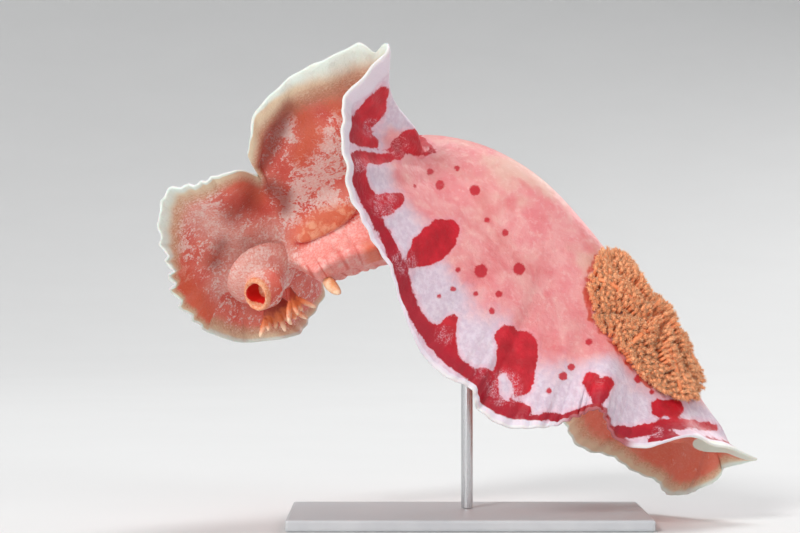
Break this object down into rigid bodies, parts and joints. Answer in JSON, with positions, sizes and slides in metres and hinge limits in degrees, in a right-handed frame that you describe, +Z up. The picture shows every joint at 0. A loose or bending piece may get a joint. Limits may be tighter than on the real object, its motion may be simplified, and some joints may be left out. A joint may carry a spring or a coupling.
{
  "type": "spanish dancer nudibranch display model",
  "caption": "Life-size sea slug in mid-swim with its mantle spread and ruffled, gill plumes on its back and mouth feelers below, held by a rod on a flat display base.",
  "frame": {"origin": "on the floor, under the middle of the whole model's box", "axes": "+Z up, the head towards -X, the tail towards +X, the animal's left side towards -Y"},
  "size_m": [0.2476, 0.1606, 0.1951],
  "materials": {
    "skin": "satin, wet, mottled pink with dark red blotches and a pale rim",
    "foot": "satin, wet",
    "head": "satin, wet",
    "rhinophore": "satin",
    "gill": "soft, slightly see-through tips",
    "stand_plate": "satin",
    "stand_steel": "brushed"
  },
  "bodies": {
    "root": {"back_front": "skin", "back_middle": "skin", "back_rear": "skin", "mantle_front": "skin", "mantle_left_1": "skin", "mantle_left_2": "skin", "mantle_left_3": "skin", "mantle_right_1": "skin", "mantle_right_2": "skin", "mantle_right_3": "skin", "mantle_tail": "skin", "flank_fold_left": "skin", "flank_fold_right": "skin", "foot_front": "foot", "foot_rear": "foot", "foot_lobe_front": "foot", "foot_lobe_rear": "foot", "head": "head", "oral_tentacle_left": "head", "oral_tentacle_right": "head", "rhinophore_left": "rhinophore", "rhinophore_right": "rhinophore", "gill_1": "gill", "gill_2": "gill", "gill_3": "gill", "gill_4": "gill", "gill_5": "gill", "gill_6": "gill", "anal_papilla": "gill", "stand_base": "stand_plate", "stand_rod": "stand_steel"}
  },
  "joints": []
}
